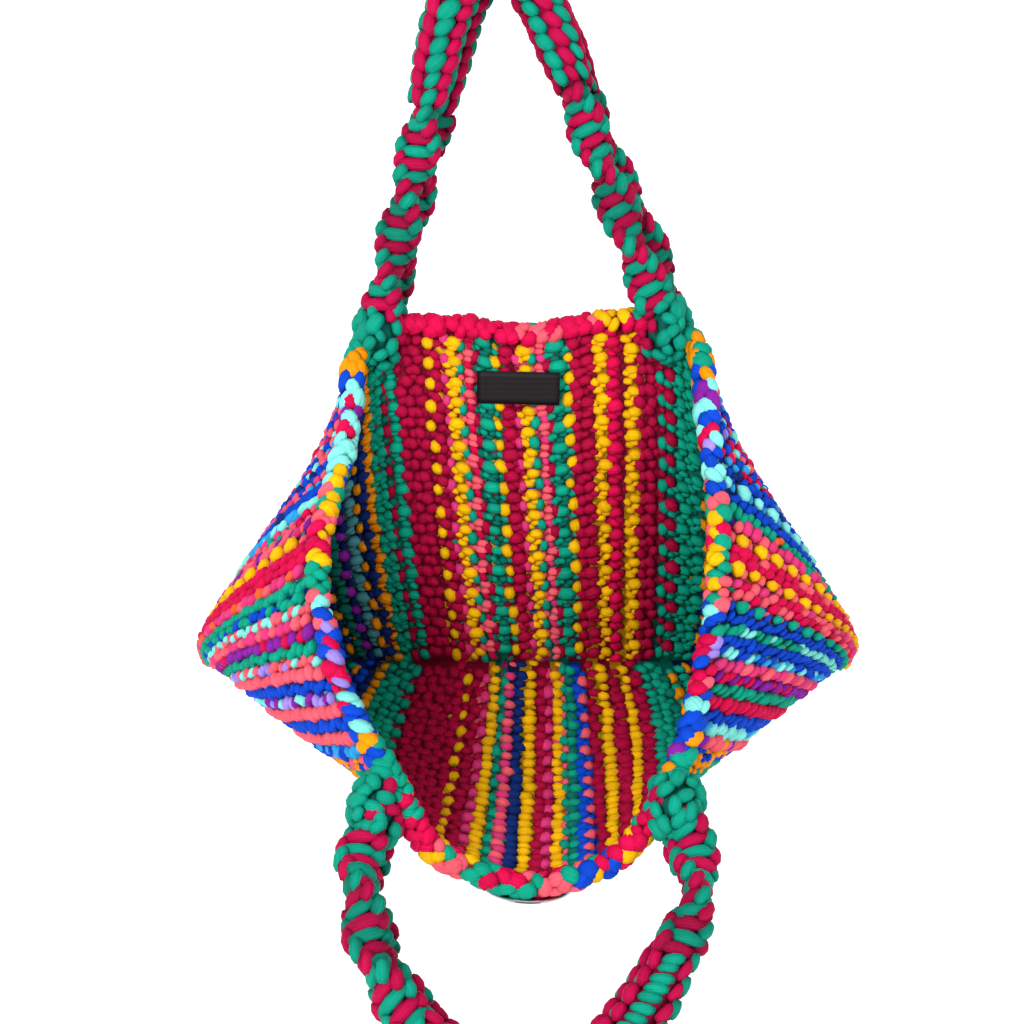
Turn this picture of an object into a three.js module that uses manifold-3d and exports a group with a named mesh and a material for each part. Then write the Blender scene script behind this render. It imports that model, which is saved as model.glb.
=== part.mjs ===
// Macrame tote bag knotted from cotton-jersey yarn, in millimetres, +Z up.
// It hangs by the top of its back handle, which is the origin: the back panel hangs almost
// straight, the mouth is open, and the front panel droops forward with its own handle below.
import * as THREE from 'three';
import Module from 'manifold-3d';

// ---- driving sizes ----
const GIRTH = 940;          // once round the bag, along the inner face
const DEPTH = 240;          // from the rim to the bottom seam
const CLOTH = 9;            // thickness of the knotted fabric
const GAP = 0.35;           // air left between two pieces that touch
const CUT = 0.45;           // the same, measured on a piece cut round its neighbours
const RIM_RADIUS = 6.5;     // the knotted edging round the mouth
const ROPE_RADIUS = 10.8;   // one rope of a handle
const LABEL = { along: 5, down: 32, width: 50, height: 20, thick: 1 };
const PLATE = { radius: 27, thick: 2, edge: 0.6, along: 470, down: 21 };
const APEX = [-13, -3, 210]; // underside of the back handle's top, from the middle of the back rim

// ---- the hung shape: a row for each line down the bag, from the middle of the back panel ----
// `along` is the way round the girth; rim, middle and bottom are points of the inner face.
const LINES = [
  { along: 0, rim: [0, 0, 0], middle: [0, 20, -112], bottom: [0, 70, -219] },
  { along: 44, rim: [-44, 0, 5], middle: [-45, 24, -112], bottom: [-43, 71, -219] },
  { along: 88, rim: [-87, 0, 2], middle: [-89, 27, -114], bottom: [-84, 76, -220] },
  { along: 163, rim: [-104, -30, -65], middle: [-158, 28, -143], bottom: [-153, 98, -223] },
  { along: 235, rim: [-118, -63, -124], middle: [-187, 16, -181], bottom: [-210, 126, -229] },
  { along: 307, rim: [-104, -108, -181], middle: [-169, -5, -210], bottom: [-153, 98, -223] },
  { along: 382, rim: [-66, -156, -231], middle: [-94, -35, -245], bottom: [-84, 76, -220] },
  { along: 426, rim: [-48, -157, -262], middle: [-48, -37, -257], bottom: [-43, 71, -219] },
  { along: 470, rim: [0, -155, -282], middle: [0, -38, -263], bottom: [0, 70, -219] },
  { along: 514, rim: [46, -157, -266], middle: [48, -37, -257], bottom: [43, 71, -219] },
  { along: 558, rim: [70, -156, -231], middle: [94, -35, -245], bottom: [84, 76, -220] },
  { along: 633, rim: [96, -107, -177], middle: [169, -5, -210], bottom: [153, 98, -223] },
  { along: 705, rim: [108, -62, -124], middle: [188, 16, -181], bottom: [210, 126, -229] },
  { along: 777, rim: [104, -29, -57], middle: [160, 28, -140], bottom: [153, 98, -223] },
  { along: 852, rim: [88, 0, 5], middle: [88, 27, -112], bottom: [84, 76, -220] },
  { along: 896, rim: [47, 0, 8], middle: [45, 24, -112], bottom: [43, 71, -219] },
];

// ---- the four ropes: points of each centre line, from the left anchor to the right ----
const ROPES = {
  handle_back_rope_front: [
    [-87, -2, 17], [-82, -1, 38], [-72, -4, 78], [-63, -8, 114], [-54, -11, 155],
    [-48, -13, 180], [-41, -13, 199], [-32, -14, 214], [-19, -14, 221], [-6, -14, 214],
    [4, -13, 199], [14, -12, 179], [22, -11, 160], [38, -8, 114], [52, -5, 80], [66, -2, 46],
    [76, -1, 20],
  ],
  handle_back_rope_rear: [
    [-84, 21, 14], [-78, 21, 38], [-67, 18, 78], [-57, 14, 114], [-46, 10, 155],
    [-40, 8, 180], [-33, 8, 197], [-23, 9, 211], [-9, 10, 218], [1, 10, 212],
    [9, 10, 197], [19, 11, 179], [27, 12, 160], [45, 14, 114], [62, 17, 80], [78, 18, 46],
    [88, 20, 17],
  ],
  handle_front_rope_front: [
    [-82, -166, -242], [-90, -182, -259], [-90, -194, -268], [-86, -209, -281],
    [-81, -224, -297], [-69, -238, -315], [-52, -248, -331], [-29, -255, -346], [0, -258, -354],
    [28, -255, -344], [50, -248, -328], [66, -236, -310], [78, -222, -292], [86, -208, -279],
    [88, -194, -269], [88, -182, -260], [83, -167, -243],
  ],
  handle_front_rope_rear: [
    [-84, -156, -264], [-86, -169, -278], [-86, -180, -287], [-80, -194, -299],
    [-74, -206, -310], [-62, -218, -325], [-48, -227, -338], [-27, -233, -354], [0, -236, -362],
    [27, -233, -352], [46, -227, -335], [60, -216, -320], [71, -204, -305], [82, -193, -297],
    [88, -180, -289], [88, -170, -280], [84, -157, -265],
  ],
};

// ---- the knots that bind each handle end to the rim: centre, half sizes, and their ropes ----
const ANCHORS = {
  anchor_back_left: { at: [-88, 8, 2], half: [17, 27, 24], handle: 'handle_back' },
  anchor_back_right: { at: [83, 8, 5], half: [17, 27, 24], handle: 'handle_back' },
  anchor_front_left: { at: [-82, -158, -242], half: [16, 22, 24], handle: 'handle_front' },
  anchor_front_right: { at: [79, -157, -241], half: [17, 22, 24], handle: 'handle_front' },
};

const LOOKS = {
  cloth_back: { color: 0xa8385f, roughness: 0.85, metalness: 0 },
  cloth_front: { color: 0x9a5a78, roughness: 0.85, metalness: 0 },
  rim: { color: 0xc9577a, roughness: 0.85, metalness: 0 },
  rope: { color: 0x9c4a78, roughness: 0.85, metalness: 0 },
  anchor: { color: 0x00b08a, roughness: 0.85, metalness: 0 },
  label: { color: 0x141014, roughness: 0.7, metalness: 0 },
  plate: { color: 0xb8b8bc, roughness: 0.3, metalness: 1 },
};

const vector = (list) => new THREE.Vector3(list[0], list[1], list[2]);
const ease = (x) => x * x * (3 - 2 * x);

// ---- the inner face: each line down the bag is a parabola through its three points ----
// Between lines the points follow a smooth closed curve (cubic, slopes from both neighbours).
const KEYS = ['rim', 'middle', 'bottom'];

function lineAt(index) {
  const turn = Math.floor(index / LINES.length);
  const row = LINES[index - turn * LINES.length];
  return { along: row.along + turn * GIRTH, row };
}

function slopeAt(index, key, axis) {
  const [a, b, c] = [lineAt(index - 1), lineAt(index), lineAt(index + 1)];
  const before = b.along - a.along;
  const after = c.along - b.along;
  const fall = (b.row[key][axis] - a.row[key][axis]) / before;
  const rise = (c.row[key][axis] - b.row[key][axis]) / after;
  return (fall * after + rise * before) / (before + after);
}

function controls(along) {
  const place = ((along % GIRTH) + GIRTH) % GIRTH;
  let k = LINES.length - 1;
  while (LINES[k].along > place) k -= 1;
  const [a, b] = [lineAt(k), lineAt(k + 1)];
  const span = b.along - a.along;
  const u = (place - a.along) / span;
  const weights = [
    2 * u ** 3 - 3 * u ** 2 + 1, (u ** 3 - 2 * u ** 2 + u) * span,
    3 * u ** 2 - 2 * u ** 3, (u ** 3 - u ** 2) * span,
  ];
  return KEYS.map((key) => vector([0, 1, 2].map((axis) => (
    weights[0] * a.row[key][axis] + weights[1] * slopeAt(k, key, axis)
    + weights[2] * b.row[key][axis] + weights[3] * slopeAt(k + 1, key, axis)))));
}

function parabola([rim, middle, bottom], u) {
  return rim.clone().multiplyScalar((1 - u) * (1 - 2 * u))
    .addScaledVector(middle, 4 * u * (1 - u))
    .addScaledVector(bottom, u * (2 * u - 1));
}

// `down` runs from 0 at the rim to DEPTH at the seam, evenly spread over the real length.
function inner(along, down) {
  const line = controls(along);
  const steps = 32;
  const points = Array.from({ length: steps + 1 }, (_, k) => parabola(line, k / steps));
  const lengths = [0];
  for (let k = 1; k <= steps; k += 1) {
    lengths.push(lengths[k - 1] + points[k].distanceTo(points[k - 1]));
  }
  const want = (down / DEPTH) * lengths[steps];
  let k = 0;
  while (k < steps - 1 && lengths[k + 1] < want) k += 1;
  const part = (want - lengths[k]) / (lengths[k + 1] - lengths[k]);
  return parabola(line, (k + part) / steps);
}

function facing(along, down) {
  const level = Math.min(down, DEPTH - 16);
  const round = inner(along + 12, level).sub(inner(along - 12, level));
  const fall = inner(along, Math.min(down + 4, DEPTH))
    .sub(inner(along, Math.max(down - 4, 0)));
  return fall.cross(round).normalize();
}

// Over the last few mm before the seam both panels lean to the middle of their two directions,
// so that their ends meet face to face.
const SEAM_BLEND = 14;

function point(along, down, out) {
  const base = inner(along, down);
  const normal = facing(along, down);
  const share = Math.max(0, (down - DEPTH + SEAM_BLEND) / SEAM_BLEND);
  if (share > 0) {
    const place = ((along % GIRTH) + GIRTH) % GIRTH;
    const partner = place < GIRTH / 2 ? GIRTH / 2 - place : 1.5 * GIRTH - place;
    const seam = facing(place, DEPTH).add(facing(partner, DEPTH)).normalize();
    const stretch = 1 / Math.max(0.8, seam.dot(facing(place, DEPTH)));
    normal.lerp(seam, ease(share)).normalize();
    normal.multiplyScalar(1 + (stretch - 1) * ease(share));
  }
  return base.addScaledVector(normal, out);
}

// ---- solids ----
function closedBody(points, faces) {
  let volume = 0;
  for (const [a, b, c] of faces) {
    volume += points[a].dot(points[b].clone().cross(points[c]));
  }
  if (volume < 0) faces.forEach((face) => face.reverse());
  return { points, faces };
}

function quads(list, a, b, c, d) {
  list.push([a, b, c], [a, c, d]);
}

// A plate between an inside grid and an outside grid of points.
function slab(columns, rows, place) {
  const points = [];
  for (const side of [0, 1]) {
    for (let i = 0; i <= columns; i += 1) {
      for (let j = 0; j <= rows; j += 1) points.push(place(i / columns, j / rows, side));
    }
  }
  const layer = (columns + 1) * (rows + 1);
  const at = (side, i, j) => side * layer + i * (rows + 1) + j;
  const faces = [];
  for (let i = 0; i < columns; i += 1) {
    for (let j = 0; j < rows; j += 1) {
      quads(faces, at(0, i, j), at(0, i, j + 1), at(0, i + 1, j + 1), at(0, i + 1, j));
      quads(faces, at(1, i, j), at(1, i + 1, j), at(1, i + 1, j + 1), at(1, i, j + 1));
    }
    quads(faces, at(0, i, 0), at(0, i + 1, 0), at(1, i + 1, 0), at(1, i, 0));
    quads(faces, at(0, i, rows), at(1, i, rows), at(1, i + 1, rows), at(0, i + 1, rows));
  }
  for (let j = 0; j < rows; j += 1) {
    quads(faces, at(0, 0, j), at(1, 0, j), at(1, 0, j + 1), at(0, 0, j + 1));
    quads(faces, at(0, columns, j), at(0, columns, j + 1), at(1, columns, j + 1),
      at(1, columns, j));
  }
  return closedBody(points, faces);
}

// Rings of points joined one to the next; a loop joins the last to the first, and an open
// run is closed by a fan at each end.
function sweep(rings, loop) {
  const sides = rings[0].length;
  const points = rings.flat();
  const faces = [];
  const count = loop ? rings.length : rings.length - 1;
  for (let i = 0; i < count; i += 1) {
    const next = (i + 1) % rings.length;
    for (let j = 0; j < sides; j += 1) {
      const turn = (j + 1) % sides;
      quads(faces, i * sides + j, i * sides + turn, next * sides + turn, next * sides + j);
    }
  }
  if (!loop) {
    [0, rings.length - 1].forEach((end) => {
      const middle = new THREE.Vector3();
      rings[end].forEach((p) => middle.addScaledVector(p, 1 / sides));
      points.push(middle);
      for (let j = 0; j < sides; j += 1) {
        const face = [points.length - 1, end * sides + j, end * sides + ((j + 1) % sides)];
        faces.push(end === 0 ? face.reverse() : face);
      }
    });
  }
  return closedBody(points, faces);
}

function circle(middle, first, second, radius, sides) {
  return Array.from({ length: sides }, (_, k) => {
    const turn = (2 * Math.PI * (k + 0.5)) / sides;
    return middle.clone().addScaledVector(first, radius * Math.cos(turn))
      .addScaledVector(second, radius * Math.sin(turn));
  });
}

// A profile of [radius, height] rows turned about an axis.
function turned(profile, sides, place) {
  const rings = profile.map(([radius, height]) => (
    Array.from({ length: sides }, (_, k) => {
      const turn = (2 * Math.PI * k) / sides;
      return place(radius * Math.cos(turn), radius * Math.sin(turn), height);
    })));
  return sweep(rings, false);
}

const cosBetween = (a, b) => a.dot(b) / (a.length() * b.length());

// The panels begin just under the edging; where a line leaves the rim at a slant it begins
// farther down, so that the way between the two stays the same.
function panelTop(along) {
  const round = inner(along + 2, 0).sub(inner(along - 2, 0));
  const fall = inner(along, 8).sub(inner(along, 0));
  const slant = Math.sqrt(1 - cosBetween(round, fall) ** 2);
  return (RIM_RADIUS + GAP) / slant + 0.5;
}

// Near the bottom the two panels close on each other at the folds, so each stops a little
// farther from the fold there, and a little above the seam in the corner itself.
const FOLDS = [235, 705];

function foldGap(fold, down) {
  const width = inner(fold + 2, down).distanceTo(inner(fold - 2, down)) / 4;
  return Math.min(9, 0.2 / width);
}

function seamEnd(along) {
  const place = ((along % GIRTH) + GIRTH) % GIRTH;
  const nearest = Math.min(...FOLDS.map((fold) => Math.abs(place - fold)));
  const side = Math.max(0, 1 - nearest / 130);
  const corner = Math.max(0, 1 - nearest / 18);
  return DEPTH - 0.3 - 0.5 * side - 3.5 * corner * corner;
}

// A cutter is the same panel, thicker on both faces and reaching up into the edging.
function panel(start, end, grow) {
  const rows = grow ? 16 : 15;
  return slab(44, rows, (u, v, side) => {
    const first = start + u * (end - start);
    const top = panelTop(first);
    const share = grow ? (v * 16 - 1) / 15 : v;
    const down = share < 0 ? 1 : top + share * (seamEnd(first) - top);
    const along = first + (1 - u) * foldGap(start, down) - u * foldGap(end, down);
    return point(along, down, side ? CLOTH + grow : -grow);
  });
}

function edging(radius) {
  const count = 96;
  const rings = Array.from({ length: count }, (_, k) => {
    const along = (GIRTH * k) / count;
    const out = facing(along, 0);
    const middle = point(along, 0, CLOTH / 2);
    const round = inner(along + 3, 0).sub(inner(along - 3, 0)).normalize();
    const second = round.clone().cross(out).normalize();
    return circle(middle, out, second, radius, 10);
  });
  return sweep(rings, true);
}

function rope(list, radius, longer = 0) {
  const curve = new THREE.CatmullRomCurve3(list.map(vector), false, 'centripetal');
  const count = 46;
  const frames = curve.computeFrenetFrames(count, false);
  const rings = Array.from({ length: count + 1 }, (_, k) => (
    circle(curve.getPointAt(k / count), frames.normals[k], frames.binormals[k], radius, 10)));
  rings[0].forEach((p) => p.addScaledVector(frames.tangents[0], -longer));
  rings[count].forEach((p) => p.addScaledVector(frames.tangents[count], longer));
  return sweep(rings, false);
}

function anchor({ at, half, handle }) {
  const profile = Array.from({ length: 13 }, (_, k) => {
    const turn = (Math.PI * (k + 0.15)) / 12.3;
    return [Math.sin(turn), -Math.cos(turn)];
  });
  const ball = turned(profile, 20, (x, y, z) => (
    new THREE.Vector3(at[0] + half[0] * x, at[1] + half[1] * y, at[2] + half[2] * z)));
  const back = handle === 'handle_back';
  const cutters = [
    edging(RIM_RADIUS + CUT),
    back ? panel(FOLDS[1] - GIRTH, FOLDS[0], CUT) : panel(FOLDS[0], FOLDS[1], CUT),
    rope(ROPES[`${handle}_rope_front`], ROPE_RADIUS + CUT, CUT),
    rope(ROPES[`${handle}_rope_rear`], ROPE_RADIUS + CUT, CUT),
  ];
  return subtract(ball, cutters);
}

function label() {
  return slab(10, 4, (u, v, side) => point(
    LABEL.along + (u - 0.5) * LABEL.width,
    LABEL.down + (v - 0.5) * LABEL.height,
    side ? -GAP : -GAP - LABEL.thick,
  ));
}

function plate() {
  const out = facing(PLATE.along, PLATE.down);
  const low = point(PLATE.along, PLATE.down, CLOTH / 2 + RIM_RADIUS);
  const first = new THREE.Vector3(1, 0, 0);
  const second = out.clone().cross(first).normalize();
  first.copy(second).cross(out);
  const { radius, thick, edge } = PLATE;
  const profile = [[0.01, 0], [radius - edge, 0], [radius, edge], [radius, thick - edge],
    [radius - edge, thick], [0.01, thick]];
  return turned(profile, 48, (x, y, z) => (
    low.clone().addScaledVector(first, x).addScaledVector(second, y).addScaledVector(out, z)));
}

// ---- cutting one body with others ----
const wasm = await Module();
wasm.setup();

function solidOf({ points, faces }) {
  return new wasm.Manifold(new wasm.Mesh({
    numProp: 3,
    vertProperties: Float32Array.from(points.flatMap((p) => [p.x, p.y, p.z])),
    triVerts: Uint32Array.from(faces.flat()),
  }));
}

function subtract(body, cutters) {
  let result = solidOf(body);
  for (const cutter of cutters) result = result.subtract(solidOf(cutter));
  const mesh = result.getMesh();
  const points = [];
  for (let k = 0; k < mesh.vertProperties.length; k += mesh.numProp) {
    points.push(vector(mesh.vertProperties.slice(k, k + 3)));
  }
  const faces = [];
  for (let k = 0; k < mesh.triVerts.length; k += 3) {
    faces.push(Array.from(mesh.triVerts.slice(k, k + 3)));
  }
  return { points, faces };
}

// ---- the bag ----
const group = new THREE.Group();
group.name = 'macrame_tote_bag';

function add(name, { points, faces }, look) {
  const geometry = new THREE.BufferGeometry();
  const numbers = points.flatMap((p) => [p.x - APEX[0], p.y - APEX[1], p.z - APEX[2]]);
  geometry.setAttribute('position', new THREE.Float32BufferAttribute(numbers, 3));
  geometry.setIndex(faces.flat());
  geometry.computeVertexNormals();
  const mesh = new THREE.Mesh(geometry, new THREE.MeshStandardMaterial(LOOKS[look]));
  mesh.name = name;
  mesh.material.name = look;
  group.add(mesh);
}

add('back_panel', panel(FOLDS[1] - GIRTH, FOLDS[0], 0), 'cloth_back');
add('front_panel', panel(FOLDS[0], FOLDS[1], 0), 'cloth_front');
add('rim_edging', edging(RIM_RADIUS), 'rim');
for (const [name, list] of Object.entries(ROPES)) add(name, rope(list, ROPE_RADIUS), 'rope');
for (const [name, row] of Object.entries(ANCHORS)) add(name, anchor(row), 'anchor');
add('label', label(), 'label');
add('metal_plate', plate(), 'plate');

export default group;
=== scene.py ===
"""Macrame tote bag of cotton-jersey yarn, hung by its back handle, with its mouth open.

The two panels are one knotted cloth on the hung shape. A chart gives every point of that cloth
from three numbers in millimetres: the way round the bag, the way down from the rim, and the height
through the cloth. Each stitch is a plump lobe of yarn laid out on the chart. The ropes have a chart
of their own: the way along, the way to the side and the way to the front.
"""

import bpy
import numpy as np
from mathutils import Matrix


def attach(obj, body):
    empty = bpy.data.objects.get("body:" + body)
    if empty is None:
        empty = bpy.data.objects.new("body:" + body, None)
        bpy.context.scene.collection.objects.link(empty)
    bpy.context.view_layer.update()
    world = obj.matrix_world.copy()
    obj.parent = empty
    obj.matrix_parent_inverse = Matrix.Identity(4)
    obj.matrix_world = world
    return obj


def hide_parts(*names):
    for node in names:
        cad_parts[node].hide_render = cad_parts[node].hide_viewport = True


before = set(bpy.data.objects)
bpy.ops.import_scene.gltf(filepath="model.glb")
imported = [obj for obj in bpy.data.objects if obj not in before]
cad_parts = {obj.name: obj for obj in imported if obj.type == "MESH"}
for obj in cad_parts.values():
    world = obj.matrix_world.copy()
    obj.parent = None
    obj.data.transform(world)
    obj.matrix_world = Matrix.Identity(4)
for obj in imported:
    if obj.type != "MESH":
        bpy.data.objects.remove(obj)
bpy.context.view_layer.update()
random = np.random.default_rng(1947)

# ---- driving sizes, in millimetres ----
MM = 0.001
GIRTH = 940.0
DEPTH = 240.0
CLOTH = 9.0
# One repeat of a column of stitches on the outside.
REPEAT = 15.0
# The last stretch down the cloth, over which the two panels turn to meet at the seam.
SEAM_BLEND = 14.0
# The underside of the back handle's top, where the bag hangs: the origin of the frame.
APEX = np.array([-13.0, -3.0, 210.0])
UP = np.array([[0.0, 0.0, 1.0]])

# ---- the hung shape: the way round, then the rim, middle and bottom of that line of the cloth ----
LINES = np.array([
    [0, 0, 0, 0, 0, 20, -112, 0, 70, -219],
    [44, -44, 0, 5, -45, 24, -112, -43, 71, -219],
    [88, -87, 0, 2, -89, 27, -114, -84, 76, -220],
    [163, -104, -30, -65, -158, 28, -143, -153, 98, -223],
    [235, -118, -63, -124, -187, 16, -181, -210, 126, -229],
    [307, -104, -108, -181, -169, -5, -210, -153, 98, -223],
    [382, -66, -156, -231, -94, -35, -245, -84, 76, -220],
    [426, -48, -157, -262, -48, -37, -257, -43, 71, -219],
    [470, 0, -155, -282, 0, -38, -263, 0, 70, -219],
    [514, 46, -157, -266, 48, -37, -257, 43, 71, -219],
    [558, 70, -156, -231, 94, -35, -245, 84, 76, -220],
    [633, 96, -107, -177, 169, -5, -210, 153, 98, -223],
    [705, 108, -62, -124, 188, 16, -181, 210, 126, -229],
    [777, 104, -29, -57, 160, 28, -140, 153, 98, -223],
    [852, 88, 0, 5, 88, 27, -112, 84, 76, -220],
    [896, 47, 0, 8, 45, 24, -112, 43, 71, -219],
], float)
FOLDS = (235.0, 705.0)

# ---- the four ropes: points of each centre line, from the left anchor to the right ----
ROPES = {
    "handle_back_rope_front": [
        [-87, -2, 17], [-82, -1, 38], [-72, -4, 78], [-63, -8, 114], [-54, -11, 155],
        [-48, -13, 180], [-41, -13, 199], [-32, -14, 214], [-19, -14, 221], [-6, -14, 214],
        [4, -13, 199], [14, -12, 179], [22, -11, 160], [38, -8, 114], [52, -5, 80],
        [66, -2, 46], [76, -1, 20],
    ],
    "handle_back_rope_rear": [
        [-84, 21, 14], [-78, 21, 38], [-67, 18, 78], [-57, 14, 114], [-46, 10, 155],
        [-40, 8, 180], [-33, 8, 197], [-23, 9, 211], [-9, 10, 218], [1, 10, 212],
        [9, 10, 197], [19, 11, 179], [27, 12, 160], [45, 14, 114], [62, 17, 80],
        [78, 18, 46], [88, 20, 17],
    ],
    "handle_front_rope_front": [
        [-82, -166, -242], [-90, -182, -259], [-90, -194, -268], [-86, -209, -281],
        [-81, -224, -297], [-69, -238, -315], [-52, -248, -331], [-29, -255, -346],
        [0, -258, -354], [28, -255, -344], [50, -248, -328], [66, -236, -310],
        [78, -222, -292], [86, -208, -279], [88, -194, -269], [88, -182, -260],
        [83, -167, -243],
    ],
    "handle_front_rope_rear": [
        [-84, -156, -264], [-86, -169, -278], [-86, -180, -287], [-80, -194, -299],
        [-74, -206, -310], [-62, -218, -325], [-48, -227, -338], [-27, -233, -354],
        [0, -236, -362], [27, -233, -352], [46, -227, -335], [60, -216, -320],
        [71, -204, -305], [82, -193, -297], [88, -180, -289], [88, -170, -280],
        [84, -157, -265],
    ],
}

# ---- the knots that bind each handle end to the rim: centre and half sizes ----
ANCHORS = {
    "anchor_back_left": ([-88, 8, 2], [17, 27, 24]),
    "anchor_back_right": ([83, 8, 5], [17, 27, 24]),
    "anchor_front_left": ([-82, -158, -242], [16, 22, 24]),
    "anchor_front_right": ([79, -157, -241], [17, 22, 24]),
}

# ---- yarn colours, as sRGB hex values ----
YARNS = {
    "crimson": "#DE004C",
    # A darker copy of the crimson yarn: painted shade, inside the bag and in the darker crimson
    # columns outside.
    "wine": "#B4003C",
    "teal": "#00A587",
    "pine": "#007465",
    "yellow": "#FFC000",
    "amber": "#FF9A00",
    "royal": "#0048D0",
    "navy": "#0A2C78",
    "sky": "#2EA6EE",
    "mint": "#88F0E6",
    "coral": "#FF6274",
    "orange": "#FF6630",
    "rose": "#EA3A80",
    "lavender": "#A48CF0",
    "purple": "#8A1EA2",
    # The ropes' crimson: a darker copy of crimson, painted shade on the ropes and anchors.
    "rope_shaded_crimson": "#BE0048",
    # A darker copy of mint: painted shade, for a column on the inside of the back.
    "slate": "#4E9CA4",
    # The ropes' teal: a darker copy of teal, painted shade on the ropes and anchors.
    "rope_shaded_teal": "#009C82",
}
YARN_NUMBER = {name: k for k, name in enumerate(YARNS)}


# ==== materials ====
def linear(colour):
    """An sRGB hex value as linear RGBA: each channel c is c / 12.92 in the dark part of the scale,
    and ((c + 0.055) / 1.055) to the power 2.4 above it."""
    channels = [int(colour[k:k + 2], 16) / 255 for k in (1, 3, 5)]
    straight = [c / 12.92 if c <= 0.04045 else ((c + 0.055) / 1.055) ** 2.4 for c in channels]
    return (*straight, 1.0)


def join(made, links):
    """Links a node's inputs. links holds (input name, source node, output name)."""
    for socket, source, output in links:
        made.id_data.links.new(source.outputs[output], made.inputs[socket])


def node(tree, kind, links=(), **settings):
    """Adds a shader node, sets its properties and input values, and links its inputs. In the name
    of an input _ stands for a space."""
    made = tree.nodes.new(kind)
    for key, value in settings.items():
        if hasattr(made, key) and key not in made.inputs:
            setattr(made, key, value)
        else:
            made.inputs[key.replace("_", " ")].default_value = value
    join(made, links)
    return made


def new_material(name, **values):
    """A node material, its tree, and its Principled shader with the given input values."""
    material = bpy.data.materials.new(name)
    material.use_nodes = True
    shader = material.node_tree.nodes["Principled BSDF"]
    for key, value in values.items():
        shader.inputs[key.replace("_", " ")].default_value = value
    return material, material.node_tree, shader


def jersey(name, colour):
    """Cotton jersey yarn: a knitted strip that rolls up on itself, so it is matt and soft, with
    fine creases along its length. Attribute `lay` holds the way along the lobe and round it, in
    centimetres, and `shade` its brightness: painted shade, dark where a lobe dives under its
    neighbours and on its underside, times a random tone for each lobe."""
    material, tree, shader = new_material(
        "cotton_jersey_" + name, Roughness=0.7, IOR=1.46, Specular_IOR_Level=0.15)
    lay = node(tree, "ShaderNodeAttribute", attribute_name="lay")
    creases = node(tree, "ShaderNodeTexNoise", [("Vector", lay, "Vector")], Scale=3.2, Detail=3.0,
                   Roughness=0.55)
    shade = node(tree, "ShaderNodeAttribute", attribute_name="shade")
    # The low parts of the creases are painted darker, painted shade in the creases, which also
    # varies the tone.
    crease_shade_and_tone = node(tree, "ShaderNodeMapRange", [("Value", creases, "Fac")],
                  From_Min=0.25, From_Max=0.75, To_Min=0.78, To_Max=1.08)
    value = node(tree, "ShaderNodeMath", [(0, crease_shade_and_tone, "Result"), (1, shade, "Fac")],
                 operation="MULTIPLY")
    tint = node(tree, "ShaderNodeHueSaturation", [("Value", value, "Value")], Color=linear(colour))
    relief = node(tree, "ShaderNodeBump", [("Height", creases, "Fac")], Strength=0.5,
                  Distance=0.0025)
    join(shader, [("Base Color", tint, "Color"), ("Normal", relief, "Normal")])
    return material


def satin_label():
    """Woven polyester satin, the usual base of a sewn-in label: black, smooth, with a low gloss and
    threads about 0.25 mm apart, drawn coarser so that they show."""
    material, tree, shader = new_material(
        "woven_polyester_satin", Roughness=0.5, IOR=1.5, Specular_IOR_Level=0.2)
    place = node(tree, "ShaderNodeTexCoord")
    ribs = node(tree, "ShaderNodeTexWave", [("Vector", place, "Object")], wave_type="BANDS",
                bands_direction="Z", Scale=100.0, Distortion=0.6, Detail=1.0)
    relief = node(tree, "ShaderNodeBump", [("Height", ribs, "Fac")], Strength=0.2, Distance=0.0002)
    tone = node(tree, "ShaderNodeValToRGB", [("Fac", ribs, "Fac")])
    tone.color_ramp.elements[0].color = linear("#0C080C")
    tone.color_ramp.elements[1].color = linear("#161014")
    join(shader, [("Base Color", tone, "Color"), ("Normal", relief, "Normal")])
    return material


def polished_steel():
    """Polished stainless steel: a mirror face with faint turning marks."""
    material, tree, shader = new_material(
        "polished_stainless_steel", Base_Color=linear("#C8CACC"), Metallic=1.0)
    place = node(tree, "ShaderNodeTexCoord")
    marks = node(tree, "ShaderNodeTexNoise", [("Vector", place, "Object")], Scale=900.0, Detail=2.0)
    gloss = node(tree, "ShaderNodeMapRange", [("Value", marks, "Fac")], To_Min=0.12, To_Max=0.26)
    join(shader, [("Roughness", gloss, "Result")])
    return material


def painted_floor():
    """Matt white emulsion paint on a studio cove, with a barely visible roller texture."""
    material, tree, shader = new_material(
        "matt_white_emulsion", Base_Color=linear("#FAFAFA"), Roughness=0.9)
    place = node(tree, "ShaderNodeTexCoord")
    nap = node(tree, "ShaderNodeTexNoise", [("Vector", place, "Object")], Scale=60.0, Detail=2.0)
    relief = node(tree, "ShaderNodeBump", [("Height", nap, "Fac")], Strength=0.05, Distance=0.001)
    join(shader, [("Normal", relief, "Normal")])
    return material


yarn_materials = [jersey(name, colour) for name, colour in YARNS.items()]


# ==== charts: from a piece's own three numbers to a place on the bag ====
def unit(rows):
    """Every vector divided by its own length."""
    return rows / np.linalg.norm(rows, axis=-1, keepdims=True)


def smooth(x):
    """An ease from 0 to 1 while x does the same, 3x^2 - 2x^3, and level outside."""
    x = np.clip(x, 0, 1)
    return x * x * (3 - 2 * x)


def cubic_weights(u):
    """What the start, the slope there, the end and the slope there count for at the share u of a
    cubic curve: 2u^3 - 3u^2 + 1, u^3 - 2u^2 + u, 3u^2 - 2u^3 and u^3 - u^2."""
    return 2 * u**3 - 3 * u**2 + 1, u**3 - 2 * u**2 + u, 3 * u**2 - 2 * u**3, u**3 - u**2


def circle(sides):
    """Angles evenly round a circle: 2 pi k / sides."""
    return 2 * np.pi * np.arange(sides) / sides


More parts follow.
